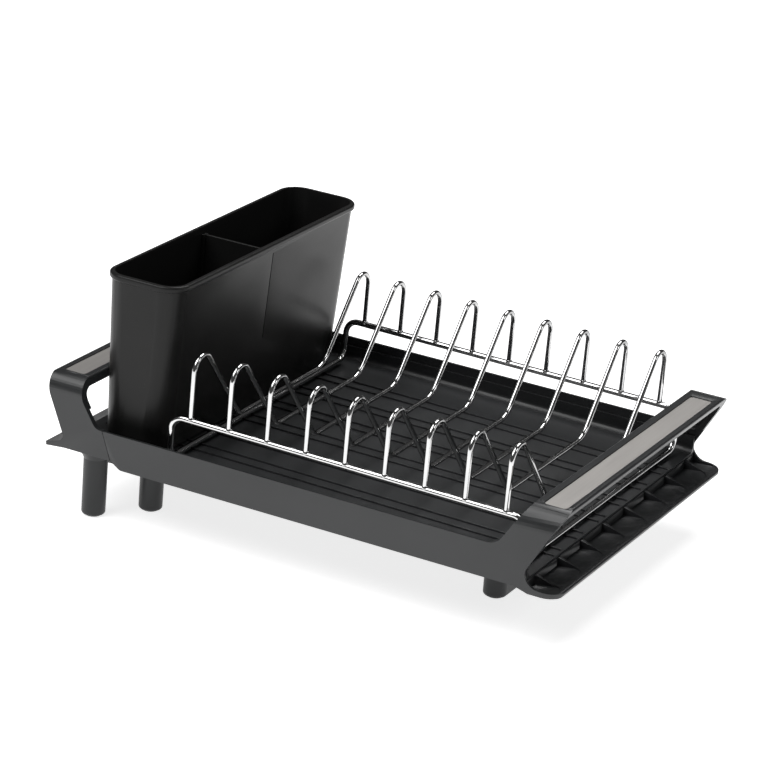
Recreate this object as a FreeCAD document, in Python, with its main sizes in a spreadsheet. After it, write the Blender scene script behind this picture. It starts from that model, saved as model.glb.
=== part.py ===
import FreeCAD, Part
import math
import os
import Sketcher

# Expandable dish drying rack, in millimetres. +X is the draining end, +Y the back, +Z up. The
# origin is on the worktop, under the middle of the closed rack. A ribbed inner tray slides out
# of the outer tray towards -X. The wire rack and the cutlery caddy stand on the inner tray.

SIZES = {
    # wire rack
    "slot_pitch": 35.0,           # from one plate wire to the next
    "slot_wires": 9,
    "rack_end": 17.2,             # from the last plate wire to the end of the frame
    "rack_depth": 287.7,          # between the front and rear rails
    "rail_rise": 35.7,            # from the cross wires up to the rails
    "frame_wire": 5.2,
    "frame_bend": 11.0,
    "plate_wire": 4.2,
    "front_loop": 52.4,           # top of the front loop above the rails
    "rear_loop": 49.5,
    "dish_dip": 17.2,             # the plate run below the rails
    "dish_front": 77.5,           # front rail to the start of the plate run
    "dish_rear": 71.4,            # end of the plate run to the rear rail
    "front_loop_bend": 12.5,
    "rear_loop_bend": 12.0,
    "dish_front_bend": 10.0,
    "dish_rear_bend": 24.0,
    "weld_sink": 0.4,             # how deep a plate wire is fused into a rail
    # cutlery caddy
    "caddy_width": 72.0,
    "caddy_height": 143.7,
    "caddy_wall": 2.0,
    "caddy_floor": 2.5,
    "caddy_corner": 17.0,
    "caddy_draft": 1.9,           # degrees
    "caddy_lean": 4.5,            # foot set back from the rim, towards -X
    "caddy_back": 4.0,            # caddy's middle behind the tray's
    "caddy_bead": 2.0,            # how far the rim stands out
    "caddy_bead_height": 5.5,
    "bead_round": 1.9,
    "drain_slots": 10,
    "drain_length": 34.0,
    "drain_width": 5.0,
    "divider_thickness": 2.0,
    "divider_below_rim": 6.5,
    "seam_offset": 3.5,           # from the divider to the shallow groove outside
    "seam_depth": 0.8,
    "seam_width": 1.0,
    "seam_below_bead": 4.0,
    "seam_length": 76.0,
    "guide_depth": 3.0,
    "guide_thickness": 1.6,
    # places along the length
    "caddy_inset": 35.5,          # left end of the rack to the caddy
    "caddy_rack_gap": 5.5,        # caddy's face to the wire frame at rail height
    "lip_reach": 40.0,           # wire frame to the right end
    "lip_depth": 27.5,            # how far the draining lip passes the inner tray's floor
    # trays
    "leg_height": 50.4,           # worktop to the outer tray
    "skirt": 3.0,
    "main_floor": 2.2,
    "floor_tongue": 13.5,         # how far the outer floor passes the foot of its walls
    "main_wall": 2.4,
    "base_round": 6.0,            # outer tray's lower left corner
    "foot_round": 15.0,           # where the outer tray's arm leaves its rim
    "waist_round": 9.0,
    "hollow_round": 12.0,
    "edge_round": 1.5,
    "tongue_overlap": 20.0,
    "slide_gap": 0.5,
    "ext_wall": 1.8,
    "ext_floor": 1.8,
    "main_wall_height": 29.1,
    "ext_wall_below": 7.0,        # inner wall's top below the outer rim
    "rack_side_gap": 11.15,
    "caddy_side_gap": 6.6,
    "drain_fall": 0.553,          # degrees
    "rest_gap": 0.3,
    "rib_height": 1.5,
    "rib_width": 1.6,
    "rib_pair": 13.0,
    "fin_pitch": 40.9,
    "fin_width": 4.5,
    "seam_gap": 0.5,
    "seam_reach": 6.6,            # inner tray's arm foot to the outer tray's end
    "seam_lean": 9.0,
    "seam_chamfer": 9.0,
    "floor_round": 5.5,
    # handles
    "handle_rise": 37.5,          # rim to the top of the handles
    "bar_width": 31.3,
    "main_arm_bend": 19.0,        # where an arm turns into the bar
    "ext_arm_bend": 14.0,
    "flange": 7.5,
    "bar_web": 3.6,
    "channel_foot": 4.0,          # rim to the foot of the hollow in the inner tray's arms
    "main_arm_foot": 54.3,
    "main_waist": 30.5,
    "ext_arm_foot": 47.5,
    "ext_waist": 18.7,
    "ext_bow": 2.5,               # how far the inner tray's arms bow towards the middle
    "bow_height": 21.0,
    "bow_round_in": 18.0,
    "bow_round_out": 20.0,
    "ext_foot_round": 9.0,
    "ext_waist_round": 5.0,
    "ext_waist_rise": 2.0,        # inner tray's waist above the outer tray's
    "ext_tip_low": 1.5,           # how the left lip's tip is cut back, below and above
    "ext_tip_high": 1.0,
    "ext_tip_half": 1.6,
    "under_land": 12.0,           # flat left under the inner floor at its draining end
    "inlay_width": 19.3,
    "inlay_end_gap": 22.0,
    "inlay_shift": 7.0,           # inlays' middle towards the front
    "inlay_thickness": 1.4,
    "inlay_sunk": 0.8,            # inlay's top below the handle's
    "inlay_gap": 0.15,
    "inlay_corner": 3.0,
    # draining lip
    "lip_drop": 3.4,              # lip's underside below the outer tray's base
    "lip_band": 3.6,              # lip's height at its outer edge
    "lip_floor": 1.8,
    "lip_rim": 3.0,
    "bay_edge": 0.2,              # bays' depth at their outer ends
    "lip_hollow": 9.0,            # how far the lip's curve reaches past the waist
    "lip_fall": 1.0,              # lip's inner edge above its outer edge
    "lip_step": 6.0,              # half the slanting step under the waist
    "lip_land": 8.0,              # from that step to the hollow underneath
    "fin_set_back": 5.0,          # fins' tips behind the lip's rim
    "fin_flat": 4.0,
    "neck_rise": 10.6,            # outer tray's base to the waist
    "lip_corner": 14.0,
    # legs
    "leg_diameter": 20.2,
    "leg_draft": 0.3,
    "leg_round": 2.5,
    "leg_flare": 3.0,
    "leg_stretch": 20.0,          # between the ends of the oblong right legs
    "pad_diameter": 14.0,
    "pad_thickness": 2.0,
    "pad_proud": 0.8,
    "pad_gap": 0.1,
    "ext_leg_inset_x": 41.2,
    "ext_leg_inset_y": 13.2,
    "main_leg_left": 0.3,        # outer tray's left end at its base to the left legs
    "main_leg_right": 85.6,       # right end to the right legs
    "main_leg_y": 111.5,
    "right_leg_y": 75.0,
}

# Places worked out from the sizes, each an expression on the sheet and on the places above it.
PLACES = {
    "rack_length": "(Sizes.slot_wires - 1) * Sizes.slot_pitch + 2 * Sizes.rack_end",
    "caddy_taper": "tan(Sizes.caddy_draft * 1deg)",
    "caddy_slant": "caddy_taper + Sizes.caddy_lean / Sizes.caddy_height",
    "caddy_setback": "Sizes.caddy_bead"
                     " + (Sizes.caddy_height - Sizes.rail_rise - Sizes.frame_wire) * caddy_slant",
    "caddy_to_rack": "Sizes.caddy_rack_gap + Sizes.frame_wire / 2 - caddy_setback",
    "half_length": "(Sizes.caddy_inset + Sizes.caddy_width + caddy_to_rack + rack_length"
                   " + Sizes.lip_reach) / 2",
    "caddy_x": "Sizes.caddy_inset + Sizes.caddy_width / 2 - half_length",
    "rack_left": "caddy_x + Sizes.caddy_width / 2 + caddy_to_rack",
    "ext_inside": "(Sizes.rack_depth + Sizes.frame_wire) / 2 + Sizes.rack_side_gap",
    "main_inside": "ext_inside + Sizes.ext_wall + Sizes.slide_gap",
    "half_depth": "main_inside + Sizes.main_wall",
    "main_base": "Sizes.leg_height",
    "main_under": "main_base + Sizes.skirt",
    "main_floor_top": "main_under + Sizes.main_floor",
    "ext_base": "main_floor_top + Sizes.slide_gap",
    "ext_floor_top": "ext_base + Sizes.ext_floor",
    "rim": "main_base + Sizes.main_wall_height",
    "ext_rim": "rim - Sizes.ext_wall_below",
    "top": "rim + Sizes.handle_rise",
    "flange_top": "top - Sizes.flange",
    "flange_y": "half_depth - Sizes.flange",
    "ext_right": "half_length - Sizes.lip_depth",
    "seam_top": "Sizes.ext_arm_foot + Sizes.seam_reach - half_length",
    "seam_low": "seam_top + Sizes.seam_lean",
    "main_left": "seam_low + Sizes.seam_chamfer",
    "lip_base": "main_base - Sizes.lip_drop",
    "lip_top": "lip_base + Sizes.lip_band",
    "fall": "tan(Sizes.drain_fall * 1deg)",
    "rib_top_right": "ext_floor_top + Sizes.rib_height",
    "caddy_left": "caddy_x - Sizes.caddy_width / 2",
    "caddy_base": "rib_top_right + (ext_right - caddy_left) * fall + Sizes.rest_gap",
    "caddy_depth": "2 * (ext_inside - Sizes.caddy_side_gap)",
    "main_bar_x": "half_length - Sizes.bar_width / 2",
    "ext_bar_x": "Sizes.bar_width / 2 - half_length",
}

doc = FreeCAD.newDocument("dish_rack")
sheet = doc.addObject("Spreadsheet::Sheet", "Sizes")
for row, (alias, value) in enumerate(SIZES.items(), start=1):
    sheet.set(f"A{row}", alias)
    sheet.set(f"B{row}", str(value))
    sheet.setAlias(f"B{row}", alias)
doc.recompute()
places = doc.addObject("App::VarSet", "Places")
for place, expression in PLACES.items():
    places.addProperty("App::PropertyFloat", place, "Places")
    places.setExpression(place, expression)
doc.recompute()

V = FreeCAD.Vector
ALONG_Y = FreeCAD.Rotation(V(1, 0, 0), 90)          # a sketch's x and y become X and Z
ALONG_X = FreeCAD.Rotation(0.5, 0.5, 0.5, 0.5)      # a sketch's x and y become Y and Z
BIG = 2000.0                                        # longer than any size of rack
NEAR = 0.05                                         # how close counts as the same place
PAST = 5.0                                          # how far a cutting tool passes a surface
GENTLE, STEEP = 1.6, 1.2                            # a slanting wall's width over its thickness
FINS = 8                                            # rib pairs, and the fins in line with them
subparts = []


def size(name):
    """Return a driving size from the sheet."""
    return float(sheet.get(name))


def place(name):
    """Return a derived place."""
    return getattr(places, name)


def value(expression):
    """Return the number that an expression on the sheet and places gives."""
    return float(sheet.evalExpression(str(expression)))


def subpart(item, label):
    """Mark an object as one physical piece and give it the piece's name."""
    item.Label = label
    subparts.append(item)
    return item


# ---------------------------------------------------------------- sketches and solids

def outline(name, turn, corners, slope=FreeCAD.Placement()):
    """Make a closed sketch whose corners are placed by pairs of expressions."""
    sketch = doc.addObject("Sketcher::SketchObject", name)
    sketch.Placement = slope.multiply(FreeCAD.Placement(V(), turn))
    points = [V(value(u), value(v), 0) for u, v in corners]
    count = len(points)
    for index in range(count):
        sketch.addGeometry(Part.LineSegment(points[index], points[(index + 1) % count]))
    for index in range(count):
        sketch.addConstraint(Sketcher.Constraint("Coincident", index, 2, (index + 1) % count, 1))
    for index, (u, v) in enumerate(corners):
        for kind, expression, number in (("DistanceX", u, points[index].x),
                                         ("DistanceY", v, points[index].y)):
            which = sketch.addConstraint(Sketcher.Constraint(kind, -1, 1, index, 1, number))
            sketch.setExpression(f"Constraints[{which}]", str(expression))
    return sketch


def extrusion(name, sketch, length):
    """Extrude a sketch both ways from its plane; length is the whole length."""
    solid = doc.addObject("Part::Extrusion", name)
    solid.Base = sketch
    solid.DirMode = "Normal"
    solid.Solid = True
    solid.Symmetric = True
    solid.setExpression("LengthFwd", str(length))
    doc.recompute()
    return solid


def block(name, low, high):
    """Make a box between two corners given as expressions."""
    box = doc.addObject("Part::Box", name)
    for side, axis, start, end in zip(("Length", "Width", "Height"), "xyz", low, high):
        box.setExpression(side, f"({end}) - ({start})")
        box.setExpression(f"Placement.Base.{axis}", str(start))
    doc.recompute()
    return box


def fuse(name, *parts):
    """Join objects into one."""
    joined = doc.addObject("Part::MultiFuse", name)
    joined.Shapes = list(parts)
    joined.Refine = True
    doc.recompute()
    return joined


def common(name, *parts):
    """Keep what the objects share."""
    shared = doc.addObject("Part::MultiCommon", name)
    shared.Shapes = list(parts)
    shared.Refine = True
    doc.recompute()
    return shared


def cut(name, base, *tools):
    """Cut the tools out of the base."""
    for tool in tools:
        result = doc.addObject("Part::Cut", name)
        result.Base = base
        result.Tool = tool
        result.Refine = True
        doc.recompute()
        if result.Shape.Volume >= base.Shape.Volume - 1:
            raise RuntimeError(f"{tool.Name} cuts nothing from {base.Name}")
        base = result
    return base


def straight_edges(shape, axis, spots):
    """Return the numbers of the edges along an axis that pass through the spots, with radii."""
    across = [k for k in range(3) if k != axis]
    found = []
    for spot, radius in spots:
        for number, edge in enumerate(shape.Edges, start=1):
            box = edge.BoundBox
            spans = (box.XLength, box.YLength, box.ZLength)
            middle = (box.Center.x, box.Center.y, box.Center.z)
            if (spans[axis] > 1 and all(spans[k] < NEAR for k in across)
                    and all(abs(middle[k] - spot[i]) < NEAR for i, k in enumerate(across))):
                found.append((number, radius, radius))
    return found


def round_edges(name, base, axis, spots):
    """Round straight edges. A spot is two expressions for where the edge runs, and a radius."""
    numeric = [((value(u), value(v)), value(radius)) for u, v, radius in spots]
    edges = straight_edges(base.Shape, axis, numeric)
    if len(edges) < len(spots):
        raise RuntimeError(f"{name} found {len(edges)} of {len(spots)} edges")
    rounded = doc.addObject("Part::Fillet", name)
    rounded.Base = base
    rounded.Edges = edges
    doc.recompute()
    return rounded


def rounded_rectangle(name, width, depth, radius, height="0", sketch=None):
    """Sketch a rectangle with rounded corners, centred on the origin, lying at a height."""
    if sketch is None:
        sketch = doc.addObject("Sketcher::SketchObject", name)
        sketch.setExpression("Placement.Base.z", str(height))
    half_x, half_y, corner = value(width) / 2, value(depth) / 2, value(radius)
    in_x, in_y = half_x - corner, half_y - corner
    ends = [(V(-in_x, -half_y, 0), V(in_x, -half_y, 0)), (V(half_x, -in_y, 0), V(half_x, in_y, 0)),
            (V(in_x, half_y, 0), V(-in_x, half_y, 0)), (V(-half_x, in_y, 0), V(-half_x, -in_y, 0))]
    centres = [(in_x, -in_y), (in_x, in_y), (-in_x, in_y), (-in_x, -in_y)]
    for start, end in ends:
        sketch.addGeometry(Part.LineSegment(start, end))
    for index, (x, y) in enumerate(centres):
        turn = math.pi / 2 * (index - 1)
        circle = Part.Circle(V(x, y, 0), V(0, 0, 1), corner)
        sketch.addGeometry(Part.ArcOfCircle(circle, turn, turn + math.pi / 2))
    for index in range(4):
        arc = 4 + index
        sketch.addConstraint(Sketcher.Constraint("Tangent", index, 2, arc, 1))
        sketch.addConstraint(Sketcher.Constraint("Tangent", arc, 2, (index + 1) % 4, 1))
    for index in range(3):
        sketch.addConstraint(Sketcher.Constraint("Equal", 4 + index, 5 + index))
    sketch.addConstraint(Sketcher.Constraint("Horizontal", 0))
    sketch.addConstraint(Sketcher.Constraint("Vertical", 1))
    for kind, edge, sign, expression in (("DistanceX", 1, 1, width), ("DistanceX", 3, -1, width),
                                         ("DistanceY", 0, -1, depth), ("DistanceY", 2, 1, depth)):
        number = sign * value(expression) / 2
        which = sketch.addConstraint(Sketcher.Constraint(kind, -1, 1, edge, 1, number))
        sketch.setExpression(f"Constraints[{which}]", f"{sign} * ({expression}) / 2")
    which = sketch.addConstraint(Sketcher.Constraint("Radius", 4, corner))
    sketch.setExpression(f"Constraints[{which}]", str(radius))
    doc.recompute()
    return sketch


def loft(name, *sections):
    """Make a solid between sketched sections."""
    solid = doc.addObject("Part::Loft", name)
    solid.Sections = list(sections)
    solid.Solid = True
    solid.Ruled = True
    doc.recompute()
    return solid


def origin_plane(body, role):
    """Return one of a body's own origin planes."""
    return next(item for item in body.Origin.OriginFeatures if item.Role == role)


def body_sketch(body, name, role="XY_Plane"):
    """Start a sketch on one of a body's origin planes."""
    sketch = body.newObject("Sketcher::SketchObject", name)
    sketch.AttachmentSupport = [(origin_plane(body, role), "")]
    sketch.MapMode = "FlatFace"
    return sketch


def body_round(body, name, base, height, radius):
    """Fillet every edge of a body's last feature that lies flat at a height."""
    doc.recompute()
    names = [f"Edge{number}" for number, edge in enumerate(base.Shape.Edges, start=1)
             if edge.BoundBox.ZLength < NEAR and abs(edge.BoundBox.Center.z - value(height)) < NEAR]
    rounded = body.newObject("PartDesign::Fillet", name)
    rounded.Base = (base, names)
    rounded.setExpression("Radius", str(radius))
    doc.recompute()
    return rounded


# ---------------------------------------------------------------- trays

def envelope(name, bend):
    """The space a tray fills seen along X: upright sides that bend over into the handle."""
    deep = "Places.half_depth"
    sketch = outline(name + "_section", ALONG_X, [
        (f"-{deep}", "0"), (deep, "0"), (deep, "Places.top"), (f"-{deep}", "Places.top")])
    solid = extrusion(name + "_block", sketch, BIG)
    return round_edges(name, solid, 0, [(f"-{deep}", "Places.top", bend), (deep, "Places.top", bend)])


def handle_space(name, bend):
    """The hand space under a handle, as wide as the arms' flanges leave it."""
    inner_bend = f"{bend} - Sizes.flange"
    sketch = outline(name + "_section", ALONG_X, [
        ("-Places.flange_y", "Places.ext_rim"), ("Places.flange_y", "Places.ext_rim"),
        ("Places.flange_y", "Places.flange_top"), ("-Places.flange_y", "Places.flange_top")])
    solid = extrusion(name + "_block", sketch, BIG)
    return round_edges(name, solid, 0, [
        ("-Places.flange_y", "Places.flange_top", inner_bend),
        ("Places.flange_y", "Places.flange_top", inner_bend)])


def handle_channel(name, wall, outer_bend, corners):
    """The hollow inside a handle and its arms, which leaves a web with a flange on each side."""
    web_y = f"(Places.half_depth - {wall})"
    web_top = "(Places.top - Sizes.bar_web)"
    section = outline(name + "_section", ALONG_X, [
        (f"-{web_y}", "Places.rim"), (web_y, "Places.rim"), (web_y, web_top),
        (f"-{web_y}", web_top)])
    bend = f"{outer_bend} - max({wall}; Sizes.bar_web)"
    across = round_edges(name + "_bend", extrusion(name + "_block", section, BIG), 0, [
        (f"-{web_y}", web_top, bend), (web_y, web_top, bend)])
    along = extrusion(name + "_side", outline(name + "_outline", ALONG_Y, corners), BIG)
    return common(name, across, along)


def inlay_recess(name, bar_x):
    """The shallow pocket in a handle's top that holds its metal inlay."""
    sketch = rounded_rectangle(name + "_outline", "Sizes.inlay_width + 2 * Sizes.inlay_gap",
                               "2 * (Places.half_depth - Sizes.inlay_end_gap + Sizes.inlay_gap)",
                               "Sizes.inlay_corner + Sizes.inlay_gap",
                               "Places.top - Sizes.inlay_thickness - Sizes.inlay_sunk")
    sketch.setExpression("Placement.Base.x", bar_x)
    sketch.setExpression("Placement.Base.y", "-Sizes.inlay_shift")
    recess = doc.addObject("Part::Extrusion", name)
    recess.Base = sketch
    recess.DirMode = "Normal"
    recess.Solid = True
    recess.LengthFwd = PAST
    doc.recompute()
    return recess


def make_main_tray():
    """The outer tray: legs' sockets below, an arched handle and a finned draining lip at the right."""
    right, rim, top = "Places.half_length", "Places.rim", "Places.top"
    foot = f"({right} - Sizes.main_arm_foot)"
    waist = f"({right} - Sizes.main_waist)"
    bar_in = f"({right} - Sizes.bar_width)"
    neck = "(Places.main_base + Sizes.neck_rise)"
    lip_inner, edge = "(Places.lip_top + Sizes.lip_fall)", "Sizes.edge_round"
    side = outline("main_side", ALONG_Y, [
        ("Places.seam_top", rim), (foot, rim), (bar_in, top), (right, top),
        (waist, neck), (f"{waist} + Sizes.lip_hollow", lip_inner),
        (right, "Places.lip_top"), (right, "Places.lip_base"),
        (f"{waist} + Sizes.lip_step", "Places.lip_base"), (f"{waist} - Sizes.lip_step", "Places.main_base"),
        ("Places.main_left", "Places.main_base"), ("Places.seam_low", "Places.ext_base")])
    plate = extrusion("main_side_plate", side, "2 * Places.half_depth")
    plate = round_edges("main_side_round", plate, 1, [
        (foot, rim, "Sizes.foot_round"), (waist, neck, "Sizes.waist_round"),
        (f"{waist} + Sizes.lip_hollow", lip_inner, "Sizes.hollow_round"),
        (bar_in, top, edge), (right, top, edge), (right, "Places.lip_top", edge),
        (right, "Places.lip_base", edge), ("Places.main_left", "Places.main_base", "Sizes.base_round")])
    shell = common("main_blank", plate, envelope("main_envelope", "Sizes.main_arm_bend"))
    tongue = block("main_tongue",
                   ("Places.main_left - Sizes.floor_tongue", "-Places.main_inside", "Places.main_under"),
                   ("Places.main_left + Sizes.tongue_overlap", "Places.main_inside",
                    "Places.main_floor_top"))
    shell = cut("main_block", fuse("main_tongued", shell, tongue), lip_corners())

    basin = outline("main_basin_section", ALONG_X, [
        ("-Places.main_inside", "Places.main_floor_top"), ("Places.main_inside", "Places.main_floor_top"),
        ("Places.main_inside", rim), ("-Places.main_inside", rim)])
    basin = extrusion("main_basin", basin, BIG)
    under = block("main_under_space",
                  (f"Places.main_left - Sizes.floor_tongue - {PAST}", "-Places.main_inside",
                   f"Places.lip_base - {PAST}"),
                  (f"{waist} - Sizes.lip_land", "Places.main_inside", "Places.main_under"))
    wall = "Sizes.main_wall"
    channel = handle_channel("main_channel", wall, "Sizes.main_arm_bend", [
        (f"{foot} + {GENTLE} * {wall}", f"{rim} + {wall}"), (f"{bar_in} + {wall}", top),
        (f"{right} - {wall}", top),
        (f"{waist} + Sizes.lip_land - {STEEP} * {wall}", f"{rim} + {wall}")])
    hand_space = handle_space("main_hand_space", "Sizes.main_arm_bend")
    return cut("main_hollow", shell, basin, under, hand_space, channel,
               inlay_recess("main_recess", "Places.main_bar_x"), lip_bays())


def lip_corners():
    """What is cut off the draining lip's two outer corners to round them in plan."""
    radius, right, deep = size("lip_corner"), place("half_length"), place("half_depth")
    low, height = place("lip_base") - PAST, place("lip_top") - place("lip_base") + 2 * PAST
    corners = []
    for side in (-1, 1):
        centre = V(right - radius, side * (deep - radius), low)
        start, end = centre + V(radius, 0, 0), centre + V(0, side * radius, 0)
        middle = centre + V(1, side, 0).normalize() * radius
        beyond = Part.makePolygon([end, end + V(0, side * PAST, 0),
                                   V(right + PAST, side * (deep + PAST), low),
                                   start + V(PAST, 0, 0), start])
        arc = Part.Arc(start, middle, end).toShape()
        corners.append(Part.Face(Part.Wire([arc] + beyond.Edges)).extrude(V(0, 0, height)))
    tool = doc.addObject("Part::Feature", "lip_corners")
    tool.Shape = Part.makeCompound(corners)
    return tool


def fin_rows():
    """Where the fins and rib pairs run, as distances from the middle, front to back."""
    rows = [(index - (FINS - 1) / 2) * size("fin_pitch") for index in range(FINS)]
    return [row for row in rows if abs(row) < place("main_inside") - size("lip_corner")]


def lip_bays():
    """The bays of the draining lip, side by side: their floors rise to their rounded outer ends."""
    inside = place("main_inside")
    edges = [-inside] + fin_rows() + [inside]
    left = place("ext_right")
    right = place("half_length") - size("lip_rim")
    low = place("lip_base") + size("lip_floor")
    shallow, high = place("lip_top") - size("bay_edge"), low + 3 * size("neck_rise")
    bays = []
    for start, end in zip(edges, edges[1:]):
        side = Part.makePolygon([V(left, start, low), V(right, start, shallow), V(right, start, high),
                                 V(left, start, high), V(left, start, low)])
        bay = Part.Face(side).extrude(V(0, end - start, 0))
        radius = min(size("lip_corner"), (end - start) * 0.45)
        outer = [edge for edge in bay.Edges
                 if edge.BoundBox.ZLength > 1 and abs(edge.BoundBox.Center.x - right) < NEAR]
        bays.append(bay.makeFillet(radius, outer))
    tool = doc.addObject("Part::Feature", "lip_bays")
    tool.Shape = bays[0].multiFuse(bays[1:])
    return tool


def make_fins():
    """The wedges between the bays: blunt where they leave the floor, pointed towards the rim."""
    root_x, root_z = place("ext_right") - size("skirt"), place("main_floor_top")
    low = place("lip_base") + size("lip_floor") / 2
    tip_x = place("half_length") - size("lip_rim") - size("fin_set_back")
    tip_z = place("lip_top") - size("lip_fall")
    blunt, sharp = size("fin_width") / 2, size("fin_width") / 15
    fins = []
    for y in fin_rows():
        plan = Part.makePolygon([V(root_x, y - blunt, low), V(tip_x, y - sharp, low),
                                 V(tip_x, y + sharp, low), V(root_x, y + blunt, low),
                                 V(root_x, y - blunt, low)])
        wedge = Part.Face(plan).extrude(V(0, 0, root_z - low + PAST))
        edge = y - blunt - PAST
        side = Part.makePolygon([V(root_x, edge, low), V(root_x, edge, root_z),
                                 V(root_x + size("fin_flat"), edge, root_z), V(tip_x, edge, tip_z),
                                 V(tip_x, edge, low), V(root_x, edge, low)])
        fins.append(wedge.common(Part.Face(side).extrude(V(0, 2 * (blunt + PAST), 0))))
    feature = doc.addObject("Part::Feature", "fins")
    feature.Shape = fins[0].multiFuse(fins[1:])
    return feature


def floor_slope():
    """The tilt of the inner tray's floor, which falls towards the draining end."""
    pivot = V(place("ext_right"), 0, place("ext_floor_top"))
    turn = FreeCAD.Rotation(V(0, 1, 0), size("drain_fall"))
    return FreeCAD.Placement(pivot - turn.multVec(pivot), turn)


def round_floor(name, base):
    """Round the two long lower edges of the inner tray's tilted hollow."""
    radius = size("floor_round")
    edges = [(number, radius, radius) for number, edge in enumerate(base.Shape.Edges, start=1)
             if edge.Length > BIG / 2 and edge.BoundBox.Center.z < place("ext_rim")]
    rounded = doc.addObject("Part::Fillet", name)
    rounded.Base = base
    rounded.Edges = edges
    doc.recompute()
    return rounded


def make_extension_tray():
    """The inner tray: a sloping ribbed floor, an arched handle and a short lip at the left."""
    left, rim, top = "-Places.half_length", "Places.rim", "Places.top"
    base, gap = "Places.ext_base", "Sizes.seam_gap"
    foot = f"({left} + Sizes.ext_arm_foot)"
    waist = f"({left} + Sizes.ext_waist)"
    bar_in = f"({left} + Sizes.bar_width)"
    neck = "(Places.main_base + Sizes.neck_rise + Sizes.ext_waist_rise)"
    bow = f"({rim} + Sizes.bow_height)"
    bow_in, bow_out = f"({bar_in} + Sizes.ext_bow)", f"({left} + Sizes.ext_bow)"
    side = outline("ext_side", ALONG_Y, [
        (left, top), (bar_in, top), (bow_in, bow), (foot, rim),
        (f"Places.seam_top - {gap}", rim), (f"Places.seam_low - {gap}", base), (waist, base),
        (f"{left} + Sizes.ext_tip_low", f"{base} - Sizes.ext_tip_half"),
        (f"{left} + Sizes.ext_tip_high", f"{base} + Sizes.ext_tip_half"), (waist, neck), (bow_out, bow)])
    plate = extrusion("ext_side_plate", side, "2 * Places.half_depth")
    plate = round_edges("ext_side_round", plate, 1, [
        (left, top, "Sizes.edge_round"), (bar_in, top, "Sizes.edge_round"),
        (bow_in, bow, "Sizes.bow_round_in"), (foot, rim, "Sizes.ext_foot_round"),
        (waist, neck, "Sizes.ext_waist_round"), (bow_out, bow, "Sizes.bow_round_out")])
    outer = common("ext_blank", plate, envelope("ext_envelope", "Sizes.ext_arm_bend"))
    inner_y = "(Places.ext_inside + Sizes.ext_wall)"
    inner = block("ext_inner", (f"{waist} + Sizes.main_wall", f"-{inner_y}", base),
                  ("Places.ext_right", inner_y, "Places.ext_rim"))
    shell = fuse("ext_shell", outer, inner)

    basin = outline("ext_basin_section", ALONG_X, [
        ("-Places.ext_inside", "Places.ext_floor_top"), ("Places.ext_inside", "Places.ext_floor_top"),
        ("Places.ext_inside", f"{rim} + {2 * PAST}"), ("-Places.ext_inside", f"{rim} + {2 * PAST}")],
        slope=floor_slope())
    basin = round_floor("ext_basin_round", extrusion("ext_basin", basin, BIG))
    wall = "(Sizes.main_wall + Sizes.slide_gap + Sizes.ext_wall)"
    channel = handle_channel("ext_channel", wall, "Sizes.ext_arm_bend", [
        (f"{left} + {wall}", top), (f"{bar_in} - Sizes.main_wall", top),
        (f"{bow_in} - 2 * {wall}", bow), (f"{foot} - {GENTLE} * {wall}", f"{rim} + Sizes.channel_foot"),
        (f"{waist} - Sizes.skirt", f"{rim} + Sizes.channel_foot"), (f"{bow_out} + {wall}", bow)])
    land = "Places.ext_right - Sizes.under_land"
    wedge = outline("ext_under_side", ALONG_Y, [
        ("Places.main_left", f"{base} - {PAST}"), (land, f"{base} - {PAST}"),
        (land, f"{base} + Sizes.under_land * Places.fall"),
        ("Places.main_left", f"{base} + (Places.ext_right - Places.main_left) * Places.fall")])
    under = extrusion("ext_under_space", wedge, "2 * Places.ext_inside")
    hollow = cut("ext_hollow", shell, basin, handle_space("ext_hand_space", "Sizes.ext_arm_bend"), channel,
                 inlay_recess("ext_recess", "Places.ext_bar_x"), under)
    tray = fuse("ext_ribbed", hollow, make_ribs())
    return subpart(tray, "extension_tray")


def make_ribs():
    """Pairs of thin ribs along the inner tray's floor, in line with the lip's fins."""
    width, sink = size("rib_width"), size("ext_floor") / 3
    start = size("ext_waist") + size("floor_round") - place("half_length")
    end = place("ext_right") - size("rib_width")
    low = place("ext_floor_top") - sink
    ribs = []
    for row in fin_rows()[1:-1]:
        for y in (row - size("rib_pair") / 2, row + size("rib_pair") / 2):
            ribs.append(Part.makeBox(end - start, width, size("rib_height") + sink,
                                     V(start, y - width / 2, low)))
    feature = doc.addObject("Part::Feature", "floor_ribs")
    feature.Shape = Part.makeCompound(ribs)
    feature.Placement = floor_slope()
    return feature


def make_inlay(label, bar_x):
    """A flat metal strip with rounded corners, set in the top of a handle."""
    body = doc.addObject("PartDesign::Body", label + "_body")
    sketch = rounded_rectangle(label + "_outline", "Sizes.inlay_width",
                               "2 * (Places.half_depth - Sizes.inlay_end_gap)",
                               "Sizes.inlay_corner", sketch=body_sketch(body, label + "_outline"))
    pad = body.newObject("PartDesign::Pad", label + "_pad")
    pad.Profile = sketch
    pad.setExpression("Length", "Sizes.inlay_thickness")
    doc.recompute()
    body_round(body, label + "_edge", pad, "Sizes.inlay_thickness", "Sizes.inlay_gap * 2")
    body.setExpression("Placement.Base.x", bar_x)
    body.setExpression("Placement.Base.y", "-Sizes.inlay_shift")
    body.setExpression("Placement.Base.z",
                       "Places.top - Sizes.inlay_sunk - Sizes.inlay_thickness")
    return subpart(body, label)


# ---------------------------------------------------------------- legs

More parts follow.
